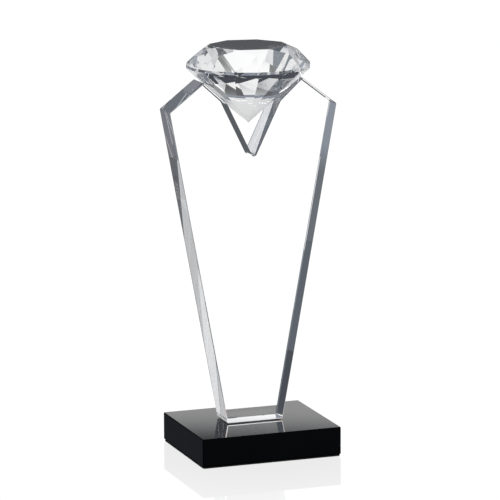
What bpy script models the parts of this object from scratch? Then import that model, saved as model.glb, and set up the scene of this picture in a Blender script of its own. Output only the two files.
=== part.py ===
"""Crystal award: a faceted crystal diamond resting in the notched top of a clear crystal panel,
which stands on a black crystal base.

Units are metres, +Z is up and -Y is the front. The origin is the centre of the underside of the
base pad, so the award stands on z = 0. Every piece is bonded to the next, and each bond is a thin
film of clear adhesive with a small clearance to the crystal on both sides.
"""

import math

import bmesh
import bpy
from mathutils import Vector

MM = 0.001
CLEARANCE = 0.3 * MM                      # free space left between two mating pieces

# Black base and the foam sheet below it
BASE_WIDTH = 92.5 * MM
BASE_DEPTH = 77.0 * MM
BASE_TOP = 19.0 * MM                      # height of the base's top face above the table
BASE_CHAMFER = 0.4 * MM
PAD_THICKNESS = 1.0 * MM
PAD_INSET = 0.3 * MM                      # from the base's sides to the pad's edge
PAD_CORNER_RADIUS = 1.5 * MM
PAD_EDGE_ROUND = 0.2 * MM

# Clear panel, given by one half of its outline
PANEL_THICKNESS = 20.0 * MM
PANEL_SETBACK = 3.0 * MM                  # the panel's middle stands this far behind the base's
FOOT_HALF_WIDTH = 18.6 * MM
SHOULDER_HALF_WIDTH = 55.5 * MM
SHOULDER_HEIGHT = 220.8 * MM
NOTCH_TOP_HALF_WIDTH = 32.7 * MM
NOTCH_TOP_HEIGHT = 238.4 * MM
SEAT_FOOT_HALF_WIDTH = 17.5 * MM          # where the diamond's seat turns down into the V cut
SEAT_FOOT_HEIGHT = 224.6 * MM
V_CUT_SLOPE = 2.05                        # rise over run of the V cut's sides
SEAT_TURN_RADIUS = 7.0 * MM
V_TIP_RADIUS = 1.5 * MM
PANEL_ARRIS = 0.4 * MM                    # polished edge break round both faces

# Diamond: a standard brilliant of 57 facets over a 16-sided girdle
DIAMOND_DIAMETER = 79.0 * MM
TABLE_DIAMETER = 49.6 * MM                # across the table's corners
CROWN_HEIGHT = 11.9 * MM
GIRDLE_HEIGHT = 1.8 * MM
PAVILION_DEPTH = 35.6 * MM
CULET_HEIGHT = 210.3 * MM                 # the point's height above the table
STAR_RATIO = 0.50                         # reach of the star facets from the table to the girdle
LOWER_HALF_RATIO = 0.72                   # reach of the lower half facets from girdle to culet
DIAMOND_TURN = math.radians(12.7)         # turn of its main facets from the panel's width

# Adhesive films
FOOT_BOND_THICKNESS = 0.2 * MM
FOOT_BOND_INSET = 0.8 * MM
SEAT_BOND_THICKNESS = 0.4 * MM
SEAT_BOND_WIDTH = 9.0 * MM                # front to back
SEAT_BOND_END_INSET = 2.5 * MM            # from both ends of the sloping seat

MAINS = 8                                 # symmetry of the brilliant cut
ARC_STEPS = 8                             # straight pieces in each rounded corner


def clear_scene():
    for scene_object in list(bpy.data.objects):
        bpy.data.objects.remove(scene_object, do_unlink=True)


def make_material(name, colour, roughness, metallic=0.0, transmission=0.0, ior=1.5):
    material = bpy.data.materials.new(name)
    material.use_nodes = True
    shader = material.node_tree.nodes["Principled BSDF"]
    shader.inputs["Base Color"].default_value = (*colour, 1.0)
    shader.inputs["Roughness"].default_value = roughness
    shader.inputs["Metallic"].default_value = metallic
    shader.inputs["Transmission Weight"].default_value = transmission
    shader.inputs["IOR"].default_value = ior
    material.diffuse_color = (*colour, 1.0)
    return material


def add_object(name, mesh, material, location=(0.0, 0.0, 0.0)):
    mesh.materials.append(material)
    new_object = bpy.data.objects.new(name, mesh)
    new_object.location = location
    bpy.context.collection.objects.link(new_object)
    return new_object


def add_chamfer(target, width):
    chamfer = target.modifiers.new("chamfer", "BEVEL")
    chamfer.width = width
    chamfer.segments = 1
    chamfer.limit_method = "ANGLE"
    chamfer.angle_limit = math.radians(30.0)


def prism_mesh(name, outline, thrust):
    """Closed solid made by pushing a flat outline of 3-D points along the vector thrust."""
    bm = bmesh.new()
    cap = bm.faces.new([bm.verts.new(point) for point in outline])
    pushed = bmesh.ops.extrude_face_region(bm, geom=[cap])
    pushed_verts = [item for item in pushed["geom"] if isinstance(item, bmesh.types.BMVert)]
    bmesh.ops.translate(bm, verts=pushed_verts, vec=thrust)
    bmesh.ops.recalc_face_normals(bm, faces=bm.faces)
    mesh = bpy.data.meshes.new(name)
    bm.to_mesh(mesh)
    bm.free()
    return mesh


def rounded_corner(before, corner, after, radius):
    """Points of the arc that rounds off a corner of a flat outline."""
    to_before = (before - corner).normalized()
    to_after = (after - corner).normalized()
    half_angle = to_before.angle(to_after) / 2.0
    bisector = (to_before + to_after).normalized()
    centre = corner + bisector * (radius / math.sin(half_angle))
    start = corner + to_before * (radius / math.tan(half_angle)) - centre
    end = corner + to_after * (radius / math.tan(half_angle)) - centre
    sweep = start.angle(end)
    points = []
    for step in range(ARC_STEPS + 1):
        share = step / ARC_STEPS
        weight_start = math.sin((1.0 - share) * sweep) / math.sin(sweep)
        weight_end = math.sin(share * sweep) / math.sin(sweep)
        points.append(centre + start * weight_start + end * weight_end)
    return points


def rectangle_outline(width, depth):
    half_width = width / 2.0
    half_depth = depth / 2.0
    return [
        Vector((-half_width, -half_depth, 0.0)),
        Vector((half_width, -half_depth, 0.0)),
        Vector((half_width, half_depth, 0.0)),
        Vector((-half_width, half_depth, 0.0)),
    ]


def make_black_base():
    underside = PAD_THICKNESS + CLEARANCE
    outline = rectangle_outline(BASE_WIDTH, BASE_DEPTH)
    mesh = prism_mesh("black_base", outline, Vector((0.0, 0.0, BASE_TOP - underside)))
    material = make_material("black_crystal", (0.006, 0.006, 0.008), 0.03)
    base = add_object("black_base", mesh, material, (0.0, 0.0, underside))
    add_chamfer(base, BASE_CHAMFER)
    return base


def make_foam_pad():
    corners = rectangle_outline(BASE_WIDTH - 2.0 * PAD_INSET, BASE_DEPTH - 2.0 * PAD_INSET)
    outline = []
    for index, corner in enumerate(corners):
        before = corners[index - 1]
        after = corners[(index + 1) % len(corners)]
        outline += rounded_corner(before, corner, after, PAD_CORNER_RADIUS)
    mesh = prism_mesh("foam_pad", outline, Vector((0.0, 0.0, PAD_THICKNESS)))
    material = make_material("black_foam", (0.012, 0.012, 0.013), 0.9)
    pad = add_object("foam_pad", mesh, material)
    add_chamfer(pad, PAD_EDGE_ROUND)
    return pad


def panel_foot_height():
    return BASE_TOP + CLEARANCE + FOOT_BOND_THICKNESS + CLEARANCE


def panel_outline():
    """Outline of the panel's front face, counter-clockwise seen from the front."""
    foot = Vector((FOOT_HALF_WIDTH, 0.0, panel_foot_height()))
    shoulder = Vector((SHOULDER_HALF_WIDTH, 0.0, SHOULDER_HEIGHT))
    notch_top = Vector((NOTCH_TOP_HALF_WIDTH, 0.0, NOTCH_TOP_HEIGHT))
    seat_foot = Vector((SEAT_FOOT_HALF_WIDTH, 0.0, SEAT_FOOT_HEIGHT))
    tip = Vector((0.0, 0.0, SEAT_FOOT_HEIGHT - SEAT_FOOT_HALF_WIDTH * V_CUT_SLOPE))
    seat_turn = rounded_corner(notch_top, seat_foot, tip, SEAT_TURN_RADIUS)
    right_half = [foot, shoulder, notch_top] + seat_turn
    left_half = [Vector((-point.x, point.y, point.z)) for point in reversed(right_half)]
    tip_round = rounded_corner(seat_turn[-1], tip, left_half[0], V_TIP_RADIUS)
    return right_half + tip_round + left_half


def make_crystal_panel():
    outline = panel_outline()
    mesh = prism_mesh("crystal_panel", outline, Vector((0.0, PANEL_THICKNESS, 0.0)))
    material = make_material("clear_crystal", (0.98, 0.985, 0.985), 0.0, 0.0, 1.0, 1.52)
    front = PANEL_SETBACK - PANEL_THICKNESS / 2.0
    panel = add_object("crystal_panel", mesh, material, (0.0, front, 0.0))
    add_chamfer(panel, PANEL_ARRIS)
    return panel


def ring(radius, height, count, offset):
    """Points evenly spaced round the diamond's own axis."""
    points = []
    for index in range(count):
        angle = offset + math.tau * index / count
        points.append((radius * math.cos(angle), radius * math.sin(angle), height))
    return points


def brilliant_mesh(name):
    """The brilliant cut, with its culet at the origin and main facets centred on +X."""
    radius = DIAMOND_DIAMETER / 2.0
    table_radius = TABLE_DIAMETER / 2.0
    half_turn = math.pi / MAINS
    girdle_low = PAVILION_DEPTH
    girdle_top = girdle_low + GIRDLE_HEIGHT
    table_height = girdle_top + CROWN_HEIGHT

    # The stars' tips lie in the planes of the crown's main facets.
    table_flat = table_radius * math.cos(half_turn)
    star_radius = table_flat + (radius - table_flat) * STAR_RATIO
    crown_slope = CROWN_HEIGHT / (radius - table_radius)
    star_height = table_height - (star_radius * math.cos(half_turn) - table_radius) * crown_slope

    # The lower halves' tips lie in the planes of the pavilion's main facets.
    lower_radius = radius * (1.0 - LOWER_HALF_RATIO)
    lower_height = lower_radius * math.cos(half_turn) * PAVILION_DEPTH / radius

    bm = bmesh.new()
    table = [bm.verts.new(p) for p in ring(table_radius, table_height, MAINS, 0.0)]
    stars = [bm.verts.new(p) for p in ring(star_radius, star_height, MAINS, half_turn)]
    upper = [bm.verts.new(p) for p in ring(radius, girdle_top, 2 * MAINS, 0.0)]
    lower = [bm.verts.new(p) for p in ring(radius, girdle_low, 2 * MAINS, 0.0)]
    halves = [bm.verts.new(p) for p in ring(lower_radius, lower_height, MAINS, half_turn)]
    culet = bm.verts.new((0.0, 0.0, 0.0))

    bm.faces.new(table)
    for k in range(MAINS):
        after = (k + 1) % MAINS
        main, between, next_main = 2 * k, 2 * k + 1, 2 * after
        bm.faces.new([table[k], stars[k], table[after]])
        bm.faces.new([table[k], stars[k - 1], upper[main], stars[k]])
        bm.faces.new([stars[k], upper[main], upper[between]])
        bm.faces.new([stars[k], upper[between], upper[next_main]])
        bm.faces.new([upper[main], lower[main], lower[between], upper[between]])
        bm.faces.new([upper[between], lower[between], lower[next_main], upper[next_main]])
        bm.faces.new([lower[main], halves[k], lower[between]])
        bm.faces.new([lower[between], halves[k], lower[next_main]])
        bm.faces.new([lower[main], halves[k - 1], culet, halves[k]])
    bmesh.ops.recalc_face_normals(bm, faces=bm.faces)
    mesh = bpy.data.meshes.new(name)
    bm.to_mesh(mesh)
    bm.free()
    return mesh


def make_crystal_diamond():
    mesh = brilliant_mesh("crystal_diamond")
    material = make_material("diamond_crystal", (0.99, 0.99, 0.99), 0.0, 0.0, 1.0, 1.55)
    location = (0.0, PANEL_SETBACK, CULET_HEIGHT)
    diamond = add_object("crystal_diamond", mesh, material, location)
    diamond.rotation_euler = (0.0, 0.0, DIAMOND_TURN)
    return diamond


def make_panel_bond(material):
    """Film between the panel's foot and the base."""
    width = 2.0 * (FOOT_HALF_WIDTH - FOOT_BOND_INSET)
    depth = PANEL_THICKNESS - 2.0 * FOOT_BOND_INSET
    outline = rectangle_outline(width, depth)
    mesh = prism_mesh("panel_bond", outline, Vector((0.0, 0.0, FOOT_BOND_THICKNESS)))
    location = (0.0, PANEL_SETBACK, BASE_TOP + CLEARANCE)
    return add_object("panel_bond", mesh, material, location)


def make_seat_bond(name, side, material):
    """Film on one sloping seat of the notch; side is -1 on the left and 1 on the right."""
    low = Vector((side * SEAT_FOOT_HALF_WIDTH, 0.0, SEAT_FOOT_HEIGHT))
    high = Vector((side * NOTCH_TOP_HALF_WIDTH, 0.0, NOTCH_TOP_HEIGHT))
    along = (high - low).normalized()
    outward = Vector((-side * along.z, 0.0, side * along.x))
    start = low + along * SEAT_BOND_END_INSET + outward * CLEARANCE
    end = high - along * SEAT_BOND_END_INSET + outward * CLEARANCE
    rise = outward * SEAT_BOND_THICKNESS
    outline = [start, end, end + rise, start + rise]
    mesh = prism_mesh(name, outline, Vector((0.0, SEAT_BOND_WIDTH, 0.0)))
    location = (0.0, PANEL_SETBACK - SEAT_BOND_WIDTH / 2.0, 0.0)
    return add_object(name, mesh, material, location)


def build():
    clear_scene()
    make_black_base()
    make_foam_pad()
    make_crystal_panel()
    make_crystal_diamond()
    adhesive = make_material("clear_adhesive", (0.97, 0.97, 0.96), 0.02, 0.0, 1.0, 1.5)
    make_panel_bond(adhesive)
    make_seat_bond("diamond_bond_left", -1.0, adhesive)
    make_seat_bond("diamond_bond_right", 1.0, adhesive)


build()
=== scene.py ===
"""Looks of the crystal award: polished crystal, black crystal base, foam pad and clear adhesive,
in a plain soft studio with a white sweep behind, on a white glossy table."""

import math

import bmesh
import bpy
from mathutils import Matrix, Vector


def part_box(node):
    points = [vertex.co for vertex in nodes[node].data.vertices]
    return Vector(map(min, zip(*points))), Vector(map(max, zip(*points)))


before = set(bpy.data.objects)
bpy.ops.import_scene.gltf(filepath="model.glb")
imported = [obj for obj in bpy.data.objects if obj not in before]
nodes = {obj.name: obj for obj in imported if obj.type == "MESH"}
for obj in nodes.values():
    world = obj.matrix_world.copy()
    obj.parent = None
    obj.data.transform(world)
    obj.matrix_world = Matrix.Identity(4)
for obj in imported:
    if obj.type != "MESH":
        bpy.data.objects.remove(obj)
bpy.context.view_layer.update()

# Camera
CAMERA_AZIMUTH = math.radians(-19.81)
CAMERA_ELEVATION = math.radians(11.30)
CAMERA_ROLL = math.radians(-0.27)
CAMERA_DISTANCE = 2.271
CAMERA_AIM = Vector((0.0006, 0.003, 0.1286))
CAMERA_LENS = 258.45
CAMERA_REACH = 50.0
SENSOR_WIDTH = 36.0
LIGHT_BOUNCES = 40

# Table: a white top whose mirror image of the award fades with distance from its middle
FLOOR_SIZE = 6.0
FLOOR_GLOW = 1.06
FLOOR_ROUGHNESS = 0.04
FLOOR_SHINE = 0.22
FLOOR_SHINE_FAR = 0.13
SHINE_NEAR = 0.055
SHINE_FAR = 0.17
TABLE_SKIN = 0.0005                       # a ray that starts below this height left the table

# Round light tent that stands on the table
TENT_RADIUS = 0.7
TENT_HEIGHT = 0.8
TENT_SINK = 0.001                         # the tent's floor lies this far below the table's top
TENT_SIDES = 96
ROOF_STARTS = 0.998                       # share of the tent's height

# Tints, and brightness of the cloth. The room is a gradient from the table to the roof, and the
# roof is one from its middle to its rim.
WHITE_TINT = (1.0, 1.0, 1.0)
ROOM_TINT = (0.88, 0.98, 1.14)
ROOM_LOW = 0.22
ROOM_HIGH = 0.42
ROOF_MIDDLE = 0.95
ROOF_RIM = 0.6
SWEEP_WHITE = 1.08
SOFTBOX_WHITE = 0.95
FILL_GREY = 0.75
FLAG_DARK = 0.13
TABLE_DARK = 0.08                         # bare table, as the crystal sees it

# Cards round the award: (middle azimuth in degrees, half width, foot and top as shares of the
# tent's height, brightness, tint). The left softbox stands lower than the right one.
STUDIO_CARDS = {
    "left_softbox": (-85.0, 30.0, 0.1, 0.9, SOFTBOX_WHITE, WHITE_TINT),
    "right_softbox": (85.0, 30.0, 0.3, 0.9, SOFTBOX_WHITE, WHITE_TINT),
    "left_flag": (-42.0, 14.0, -1.0, 0.2, FLAG_DARK, ROOM_TINT),
    "right_fill": (38.0, 20.0, -1.0, 0.5, FILL_GREY, WHITE_TINT),
    "right_front_fill": (140.0, 25.0, -1.0, 0.5, FILL_GREY, WHITE_TINT),
    "back_flag": (0.0, 24.0, 0.25, 0.6, FLAG_DARK, WHITE_TINT),
    "sweep": (0.0, 20.0, -1.0, 0.25, SWEEP_WHITE, WHITE_TINT),
}
CARD_SIDE_EDGE = 5.0                      # degrees over which a card's sides fade
CARD_TOP_EDGE = 0.02                      # share of the height over which its foot and top fade
SWEEP_FRONT = 0.5                         # the sweep's front edge, as a share of the tent's radius
PAST_TENT = 2.0                           # a share of the radius that lies outside the tent

# Half angles of the camera's view, as sines, and the tone that shows through flat glass
VIEW_ACROSS = 0.03
VIEW_UPWARD = 0.066
VIEW_EDGE = 0.003
BACKGROUND = (1.1, 1.1, 1.1, 1.0)

# Crystal and adhesive: a tint that drifts between two colours, refractive index, drift scale
PANEL_CLEAR = (0.997, 0.998, 0.999)
PANEL_TINTED = (0.993, 0.995, 0.997)
PANEL_IOR = 1.52
PANEL_DRIFT = 12.0
DIAMOND_CLEAR = (0.968, 0.97, 0.97)
DIAMOND_TINTED = (0.96, 0.96, 0.963)
DIAMOND_IOR = 1.55
DIAMOND_DRIFT = 30.0
ADHESIVE_CLEAR = (0.995, 0.995, 0.99)
ADHESIVE_TINTED = (0.98, 0.98, 0.97)
ADHESIVE_IOR = 1.5
ADHESIVE_DRIFT = 90.0
# Light that has met more surfaces than this comes out as a set grey: painted light, an emitted grey in
# place of the traced light
PAINTED_LIGHT_DEPTH = 12.0
PANEL_PAINTED_LIGHT = (0.22, 0.22, 0.24)
DIAMOND_PAINTED_LIGHT = (0.85, 0.85, 0.86)

# Edge breaks and outline of the panel, with painted glints (emitted light) on the edge breaks and a
# painted dark outline (painted shade). A face counts as an edge break when the forward part of
# its normal lies between EDGE_LOW and EDGE_HIGH.
EDGE_LOW = 0.5
EDGE_HIGH = 0.9
EDGE_SOFTNESS = 0.01
# Glints are painted highlights: emitted light on the edge breaks, not light from the studio
GLINT_STRENGTH = 0.95
MIRRORED_GLINT = 2.5
GLINT_SHARE = 0.85
GLINT_DEPTH = 3.5
GLINT_DRIFT = 45.0
GLINT_LOW = 0.02                          # direct glints fade out between these heights
GLINT_TOP = 0.05
GLINT_BLUE = (0.8, 0.95, 1.0)
GLINT_RED = (1.0, 0.84, 0.8)
NOTCH_HALF_WIDTH = 0.034                  # no glints inside the crystal nearer the middle
# The outline is painted shade: a dark emitted colour drawn on the edge breaks and the far side edges
PAINTED_EDGE_SHADE_COLOUR = (0.14, 0.145, 0.16)
PAINTED_EDGE_SHADE_SHARE = 0.7
OUTLINE_WIDTH = 0.0015

# Black crystal and foam
BASE_IOR = 1.52
BASE_SPECULAR = 0.3
BASE_SWIRL = 25.0
BASE_SWIRL_DETAIL = 3.0
BASE_DARK = (0.0012, 0.0012, 0.0016)
BASE_LIGHT = (0.0030, 0.0030, 0.0038)
BASE_SMOOTH = 0.002
BASE_ROUGH = 0.006
FOAM_CELLS = 2500.0
# Painted shade: the pits of the foam cells are coloured darker than the cell walls
FOAM_PIT_PAINTED_SHADE = (0.002, 0.002, 0.002)
FOAM_WALL = (0.007, 0.007, 0.0075)
FOAM_ROUGHNESS = 0.9
FOAM_RELIEF = 0.0002
FOAM_RELIEF_STRENGTH = 0.4

panel_low, panel_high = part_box("crystal_panel")
PANEL_MIDDLE = (panel_low[1] + panel_high[1]) / 2.0
OUTLINE_STARTS = (panel_high[1] - panel_low[1]) / 2.0 - OUTLINE_WIDTH


# ---------------------------------------------------------------- node helpers
def new_tree(owner):
    owner.use_nodes = True
    owner.node_tree.nodes.clear()
    return owner.node_tree


def add_node(tree, kind, inputs=None, **settings):
    node = tree.nodes.new(kind)
    for name, value in settings.items():
        setattr(node, name, value)
    for name, value in (inputs or {}).items():
        if isinstance(value, bpy.types.NodeSocket):
            tree.links.new(value, node.inputs[name])
        else:
            node.inputs[name].default_value = value
    return node


def maths(tree, operation, first, second=0.0):
    inputs = {0: first, 1: second}
    return add_node(tree, "ShaderNodeMath", inputs, operation=operation).outputs[0]


def ramp(tree, factor, stops, interpolation="LINEAR"):
    """Colour ramp from (position, grey or colour) stops."""
    node = add_node(tree, "ShaderNodeValToRGB", {"Fac": factor})
    node.color_ramp.interpolation = interpolation
    elements = node.color_ramp.elements
    while len(elements) < len(stops):
        elements.new(0.5)
    for element, (position, colour) in zip(elements, stops):
        element.position = position
        if isinstance(colour, (int, float)):
            colour = (colour, colour, colour)
        element.color = (*colour, 1.0)
    return node.outputs["Color"]


def step_up(tree, value, middle, soft):
    """Smooth step from 0 to 1 round the middle."""
    return add_node(tree, "ShaderNodeMapRange", {
        "Value": value, "From Min": middle - soft, "From Max": middle + soft,
    }, interpolation_type="SMOOTHSTEP").outputs[0]


def window(tree, value, low, high, soft):
    """1 between low and high, 0 outside, with smooth edges."""
    return maths(tree, "SUBTRACT", step_up(tree, value, low, soft), step_up(tree, value, high, soft))


def split(tree, vector):
    """The X, Y and Z of a vector."""
    return add_node(tree, "ShaderNodeSeparateXYZ", {0: vector}).outputs


def shade(brightness, tint):
    """Opaque colour of this brightness and tint."""
    return (*(brightness * share for share in tint), 1.0)


def blend(tree, factor, first, second):
    """first where factor is 0, second where it is 1."""
    inputs = {0: factor, 6: first, 7: second}
    return add_node(tree, "ShaderNodeMix", inputs, data_type="RGBA").outputs[2]


def multiply(tree, first, second):
    return add_node(tree, "ShaderNodeVectorMath", {0: first, 1: second}, operation="MULTIPLY").outputs[0]


# ---------------------------------------------------------------- materials
def cloudy(tree, scale, detail=2.0):
    """Soft noise between 0 and 1 in the piece's own space."""
    place = add_node(tree, "ShaderNodeTexCoord").outputs["Object"]
    inputs = {"Vector": place, "Scale": scale, "Detail": detail}
    return add_node(tree, "ShaderNodeTexNoise", inputs).outputs["Fac"]


def glass(name, clear, tinted, ior, drift, painted_light_colour, glints=False):
    """Clear crystal whose tint drifts a little from place to place. Light that is caught inside
    for many reflections comes out as painted light, a weak grey that the glass emits in place of the
    traced light."""
    material = bpy.data.materials.new(name)
    tree = new_tree(material)
    colour = ramp(tree, cloudy(tree, drift), [(0.35, clear), (0.65, tinted)])
    body = add_node(tree, "ShaderNodeBsdfGlass", {"Color": colour, "Roughness": 0.0, "IOR": ior})
    # Painted light: an emitted grey in place of light traced further
    painted_light = add_node(tree, "ShaderNodeEmission", {"Color": (*painted_light_colour, 1.0)})
    depth = add_node(tree, "ShaderNodeLightPath").outputs["Ray Depth"]
    caught = maths(tree, "GREATER_THAN", depth, PAINTED_LIGHT_DEPTH)
    mixed = add_node(tree, "ShaderNodeMixShader", {0: caught, 1: body.outputs[0], 2: painted_light.outputs[0]})
    if glints:
        mixed = add_glints(tree, mixed)
    add_node(tree, "ShaderNodeOutputMaterial", {"Surface": mixed.outputs[0]})
    return material


def add_glints(tree, surface):
    """Painted glints: bright, faintly prismatic emitted light along the narrow edge breaks between front
    and sides, standing in for light that the edges would catch. They show inside the crystal, in the
    base's mirror image and, near the foot, directly. Higher up, the camera sees a painted dark line,
    painted shade, there and along the far edge of the sides."""
    source = add_node(tree, "ShaderNodeTexCoord").outputs
    forward = maths(tree, "ABSOLUTE", split(tree, source["Normal"])["Y"])
    on_edge = window(tree, forward, EDGE_LOW, EDGE_HIGH, EDGE_SOFTNESS)
    path = add_node(tree, "ShaderNodeLightPath").outputs
    deep = maths(tree, "GREATER_THAN", path["Ray Depth"], GLINT_DEPTH)
    sideways = maths(tree, "ABSOLUTE", split(tree, source["Object"])["X"])
    inside = maths(tree, "MULTIPLY", deep, maths(tree, "GREATER_THAN", sideways, NOTCH_HALF_WIDTH))
    first_bounce = maths(tree, "COMPARE", path["Ray Depth"], 1.0)
    reflected = maths(tree, "SUBTRACT", 1.0, path["Is Transmission Ray"])
    mirrored = maths(tree, "MULTIPLY", reflected, first_bounce)
    place = add_node(tree, "ShaderNodeNewGeometry").outputs["Position"]
    low = add_node(tree, "ShaderNodeMapRange", {
        "Value": split(tree, place)["Z"], "From Min": GLINT_LOW, "From Max": GLINT_TOP,
        "To Min": 1.0, "To Max": 0.0}).outputs[0]
    direct = maths(tree, "MULTIPLY", path["Is Camera Ray"], low)
    shown = maths(tree, "MAXIMUM", maths(tree, "MAXIMUM", inside, mirrored), direct)
    colour = ramp(tree, cloudy(tree, GLINT_DRIFT), [
        (0.35, GLINT_BLUE), (0.45, WHITE_TINT), (0.55, WHITE_TINT), (0.65, GLINT_RED)])
    strength = maths(tree, "ADD", maths(tree, "MULTIPLY", mirrored, MIRRORED_GLINT), GLINT_STRENGTH)
    # Painted glint: emitted light, not a reflection of the studio
    glow = add_node(tree, "ShaderNodeEmission", {"Color": colour, "Strength": strength})
    share = maths(tree, "MULTIPLY", maths(tree, "MULTIPLY", on_edge, shown), GLINT_SHARE)
    lit = add_node(tree, "ShaderNodeMixShader", {0: share, 1: surface.outputs[0], 2: glow.outputs[0]})
    # Painted shade: a dark emitted colour for the outline, seen by the camera above the foot
    dark = add_node(tree, "ShaderNodeEmission", {"Color": (*PAINTED_EDGE_SHADE_COLOUR, 1.0)})
    seen = maths(tree, "MULTIPLY", path["Is Camera Ray"], maths(tree, "SUBTRACT", 1.0, low))
    outline = maths(tree, "MAXIMUM", on_edge, far_edge(tree, forward))
    painted_outline_share = maths(tree, "MULTIPLY", maths(tree, "MULTIPLY", outline, seen), PAINTED_EDGE_SHADE_SHARE)
    return add_node(tree, "ShaderNodeMixShader", {0: painted_outline_share, 1: lit.outputs[0], 2: dark.outputs[0]})


def far_edge(tree, forward):
    """1 on a side face along the edge that is farther from the camera, where the painted dark outline
    (painted shade) runs.
    """
    surface = add_node(tree, "ShaderNodeNewGeometry").outputs
    depth = split(tree, surface["Position"])["Y"]
    toward = split(tree, surface["Incoming"])["Y"]
    from_middle = maths(tree, "SUBTRACT", depth, PANEL_MIDDLE)
    nearness = maths(tree, "MULTIPLY", from_middle, maths(tree, "SIGN", toward))
    beyond = maths(tree, "LESS_THAN", nearness, -OUTLINE_STARTS)
    return maths(tree, "MULTIPLY", beyond, maths(tree, "LESS_THAN", forward, EDGE_LOW))


def black_crystal():
    """Polished black crystal with the faint swirl that polishing leaves. Its narrow edge breaks
    don't shine."""
    material = bpy.data.materials.new("black_crystal_polished")
    tree = new_tree(material)
    swirl = cloudy(tree, BASE_SWIRL, BASE_SWIRL_DETAIL)
    colour = ramp(tree, swirl, [(0.3, BASE_DARK), (0.7, BASE_LIGHT)])
    polish = add_node(tree, "ShaderNodeMapRange", {
        "Value": swirl, "To Min": BASE_SMOOTH, "To Max": BASE_ROUGH})
    facing = add_node(tree, "ShaderNodeTexCoord").outputs["Normal"]
    sides = add_node(tree, "ShaderNodeVectorMath", {0: facing}, operation="ABSOLUTE").outputs[0]
    parts = split(tree, sides)
    largest = maths(tree, "MAXIMUM", maths(tree, "MAXIMUM", parts["X"], parts["Y"]), parts["Z"])
    flat = maths(tree, "GREATER_THAN", largest, EDGE_HIGH)
    shine = maths(tree, "MULTIPLY", flat, BASE_SPECULAR)
    surface = add_node(tree, "ShaderNodeBsdfPrincipled", {
        "Base Color": colour, "Roughness": polish.outputs[0], "IOR": BASE_IOR,
        "Specular IOR Level": shine})
    add_node(tree, "ShaderNodeOutputMaterial", {"Surface": surface.outputs[0]})
    return material


def black_foam():
    """Matte foam with fine closed cells, coloured darker in the cell pits as painted shade."""
    material = bpy.data.materials.new("black_foam_cells")
    tree = new_tree(material)
    place = add_node(tree, "ShaderNodeTexCoord").outputs["Object"]
    pattern = {"Vector": place, "Scale": FOAM_CELLS}
    cells = add_node(tree, "ShaderNodeTexVoronoi", pattern).outputs["Distance"]
    colour = ramp(tree, cells, [(0.0, FOAM_PIT_PAINTED_SHADE), (0.7, FOAM_WALL)])
    relief = add_node(tree, "ShaderNodeBump", {
        "Strength": FOAM_RELIEF_STRENGTH, "Distance": FOAM_RELIEF, "Height": cells})
    surface = add_node(tree, "ShaderNodeBsdfPrincipled", {
        "Base Color": colour, "Roughness": FOAM_ROUGHNESS, "Normal": relief.outputs[0]})
    add_node(tree, "ShaderNodeOutputMaterial", {"Surface": surface.outputs[0]})
    return material


def paint(node_name, material):
    target = nodes[node_name]
    target.data.materials.clear()
    target.data.materials.append(material)


paint("crystal_panel", glass("panel_crystal", PANEL_CLEAR, PANEL_TINTED, PANEL_IOR, PANEL_DRIFT,
                             PANEL_PAINTED_LIGHT, glints=True))
paint("crystal_diamond", glass("diamond_crystal_cut", DIAMOND_CLEAR, DIAMOND_TINTED, DIAMOND_IOR,
                               DIAMOND_DRIFT, DIAMOND_PAINTED_LIGHT))
paint("black_base", black_crystal())
paint("foam_pad", black_foam())
adhesive = glass("clear_adhesive_film", ADHESIVE_CLEAR, ADHESIVE_TINTED, ADHESIVE_IOR,
                 ADHESIVE_DRIFT, PANEL_PAINTED_LIGHT)
for film in ("panel_bond", "diamond_bond_left", "diamond_bond_right"):
    paint(film, adhesive)


# ---------------------------------------------------------------- table
def make_floor():
    mesh = bpy.data.meshes.new("table_top")
    half = FLOOR_SIZE / 2.0
    corners = [(-half, -half, 0.0), (half, -half, 0.0), (half, half, 0.0), (-half, half, 0.0)]
    mesh.from_pydata(corners, [], [(0, 1, 2, 3)])
    floor = bpy.data.objects.new("table_top", mesh)
    bpy.context.scene.collection.objects.link(floor)
    material = bpy.data.materials.new("white_table")
    tree = new_tree(material)
    glow = add_node(tree, "ShaderNodeEmission", {"Strength": FLOOR_GLOW})
    shine = add_node(tree, "ShaderNodeBsdfGlossy", {"Roughness": FLOOR_ROUGHNESS})
    place = add_node(tree, "ShaderNodeTexCoord").outputs["Object"]
    distance = add_node(tree, "ShaderNodeVectorMath", {0: place}, operation="LENGTH").outputs["Value"]
    fade = add_node(tree, "ShaderNodeMapRange", {
        "Value": distance, "From Min": SHINE_NEAR, "From Max": SHINE_FAR,
        "To Min": FLOOR_SHINE, "To Max": FLOOR_SHINE_FAR}).outputs[0]
    mixed = add_node(tree, "ShaderNodeMixShader", {0: fade, 1: glow.outputs[0], 2: shine.outputs[0]})
    add_node(tree, "ShaderNodeOutputMaterial", {"Surface": mixed.outputs[0]})
    mesh.materials.append(material)
    floor.visible_glossy = False
    floor.visible_transmission = False
    floor.visible_diffuse = False
    floor.visible_shadow = False


# ---------------------------------------------------------------- studio
def compass(tree, vector):
    """Angle in degrees of a vector round the tent: 0 is behind the award, positive to the right."""
    parts = split(tree, vector)
    return maths(tree, "DEGREES", maths(tree, "ARCTAN2", parts["X"], parts["Y"]))


def tent_walls(tree, azimuth, height):
    """A plain grey room with the cards in front of it, each over the ones before it."""
    walls = multiply(tree, ramp(tree, height, [(0.0, ROOM_LOW), (1.0, ROOM_HIGH)]), ROOM_TINT)
    for middle, half_width, foot, top, brightness, tint in STUDIO_CARDS.values():
        across = window(tree, azimuth, middle - half_width, middle + half_width, CARD_SIDE_EDGE)
        upward = window(tree, height, foot, top, CARD_TOP_EDGE)
        card = maths(tree, "MULTIPLY", across, upward)
        walls = blend(tree, card, walls, shade(brightness, tint))
    return walls


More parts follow.
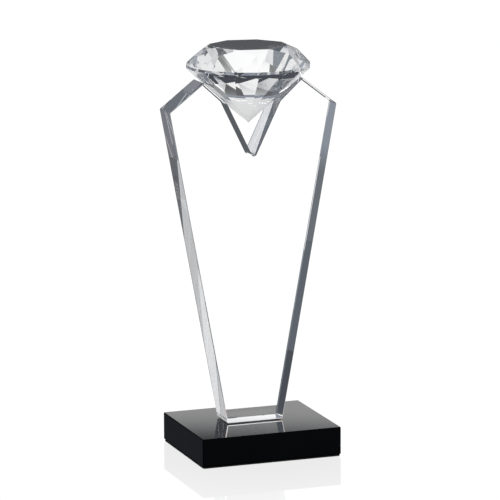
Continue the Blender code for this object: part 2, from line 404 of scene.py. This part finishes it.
def tent_floor(tree, azimuth, reach):
    """The table as the crystal sees it: white where the sweep runs out over it, dark elsewhere."""
    middle, half_width = STUDIO_CARDS["sweep"][:2]
    across = window(tree, azimuth, middle - half_width, middle + half_width, CARD_SIDE_EDGE)
    behind = window(tree, reach, SWEEP_FRONT, PAST_TENT, CARD_TOP_EDGE)
    on_sweep = maths(tree, "MULTIPLY", across, behind)
    return blend(tree, on_sweep, shade(TABLE_DARK, ROOM_TINT), shade(SWEEP_WHITE, WHITE_TINT))


def tent_light(tree):
    """Brightness of the tent's cloth, or plain white for rays that show the plain background."""
    position = add_node(tree, "ShaderNodeTexCoord").outputs["Object"]
    azimuth = compass(tree, position)
    height = maths(tree, "DIVIDE", split(tree, position)["Z"], TENT_HEIGHT)
    flat = multiply(tree, position, (1.0, 1.0, 0.0))
    length = add_node(tree, "ShaderNodeVectorMath", {0: flat}, operation="LENGTH").outputs["Value"]
    reach = maths(tree, "DIVIDE", length, TENT_RADIUS)
    roof = ramp(tree, reach, [(0.0, ROOF_MIDDLE), (1.0, ROOF_RIM)])

    above = maths(tree, "GREATER_THAN", height, ROOF_STARTS)
    below = maths(tree, "LESS_THAN", height, 0.0)
    tent = blend(tree, above, tent_walls(tree, azimuth, height), roof)
    tent = blend(tree, below, tent, tent_floor(tree, azimuth, reach))
    incoming = add_node(tree, "ShaderNodeNewGeometry").outputs["Incoming"]
    plain = maths(tree, "MAXIMUM", from_table(tree), straight_through(tree, incoming))
    return blend(tree, plain, tent, BACKGROUND)


def straight_through(tree, incoming):
    """1 where the ray still runs along the camera's view, as it does after flat glass."""
    local = add_node(tree, "ShaderNodeVectorTransform", {0: incoming},
                     vector_type="VECTOR", convert_from="WORLD", convert_to="CAMERA").outputs[0]
    parts = split(tree, local)
    across = window(tree, parts["X"], -VIEW_ACROSS, VIEW_ACROSS, VIEW_EDGE)
    upward = window(tree, parts["Y"], -VIEW_UPWARD, VIEW_UPWARD, VIEW_EDGE)
    return maths(tree, "MULTIPLY", across, upward)


def from_table(tree):
    """1 where the ray set out from the table top, which mirrors a plain white room."""
    surface = add_node(tree, "ShaderNodeNewGeometry").outputs
    back = split(tree, surface["Incoming"])["Z"]
    met = split(tree, surface["Position"])["Z"]
    length = add_node(tree, "ShaderNodeLightPath").outputs["Ray Length"]
    origin = maths(tree, "ADD", maths(tree, "MULTIPLY", back, length), met)
    return maths(tree, "LESS_THAN", origin, TABLE_SKIN)


def make_tent():
    """Round light tent that turns with the camera, seen by the glass but not by the camera."""
    mesh = bpy.data.meshes.new("light_tent")
    work = bmesh.new()
    bmesh.ops.create_cone(work, cap_ends=True, segments=TENT_SIDES, radius1=TENT_RADIUS,
                          radius2=TENT_RADIUS, depth=TENT_HEIGHT)
    bmesh.ops.translate(work, verts=work.verts, vec=(0.0, 0.0, TENT_HEIGHT / 2.0 - TENT_SINK))
    work.to_mesh(mesh)
    work.free()
    tent = bpy.data.objects.new("light_tent", mesh)
    bpy.context.scene.collection.objects.link(tent)
    material = bpy.data.materials.new("tent_cloth")
    tree = new_tree(material)
    glow = add_node(tree, "ShaderNodeEmission", {"Color": tent_light(tree)})
    add_node(tree, "ShaderNodeOutputMaterial", {"Surface": glow.outputs[0]})
    mesh.materials.append(material)
    tent.visible_camera = False
    tent.visible_shadow = False
    return tent


def make_studio():
    world = bpy.data.worlds.new("studio")
    bpy.context.scene.world = world
    tree = new_tree(world)
    background = add_node(tree, "ShaderNodeBackground", {"Color": (1.0, 1.0, 1.0, 1.0), "Strength": 1.0})
    add_node(tree, "ShaderNodeOutputWorld", {"Surface": background.outputs[0]})
    tent = make_tent()
    facing = tent.constraints.new("LOCKED_TRACK")
    facing.target = bpy.context.scene.camera
    facing.track_axis = "TRACK_NEGATIVE_Y"
    facing.lock_axis = "LOCK_Z"


def make_camera():
    camera = bpy.data.objects.new("camera", bpy.data.cameras.new("camera"))
    bpy.context.scene.collection.objects.link(camera)
    camera.data.lens = CAMERA_LENS
    camera.data.sensor_width = SENSOR_WIDTH
    camera.data.clip_end = CAMERA_REACH
    flat = math.cos(CAMERA_ELEVATION)
    back = Vector((math.sin(CAMERA_AZIMUTH) * flat, -math.cos(CAMERA_AZIMUTH) * flat,
                   math.sin(CAMERA_ELEVATION)))
    level = Vector((0.0, 0.0, 1.0)).cross(back).normalized()
    upright = back.cross(level)
    right = level * math.cos(CAMERA_ROLL) + upright * math.sin(CAMERA_ROLL)
    up = back.cross(right)
    place = Matrix((right, up, back)).transposed().to_4x4()
    place.translation = CAMERA_AIM + back * CAMERA_DISTANCE
    camera.matrix_world = place
    bpy.context.scene.camera = camera


def set_film():
    scene = bpy.context.scene
    scene.view_settings.view_transform = "Standard"
    scene.cycles.max_bounces = LIGHT_BOUNCES
    scene.cycles.transmission_bounces = LIGHT_BOUNCES
    scene.cycles.glossy_bounces = LIGHT_BOUNCES
    scene.cycles.transparent_max_bounces = LIGHT_BOUNCES


make_floor()
make_camera()
make_studio()
set_film()
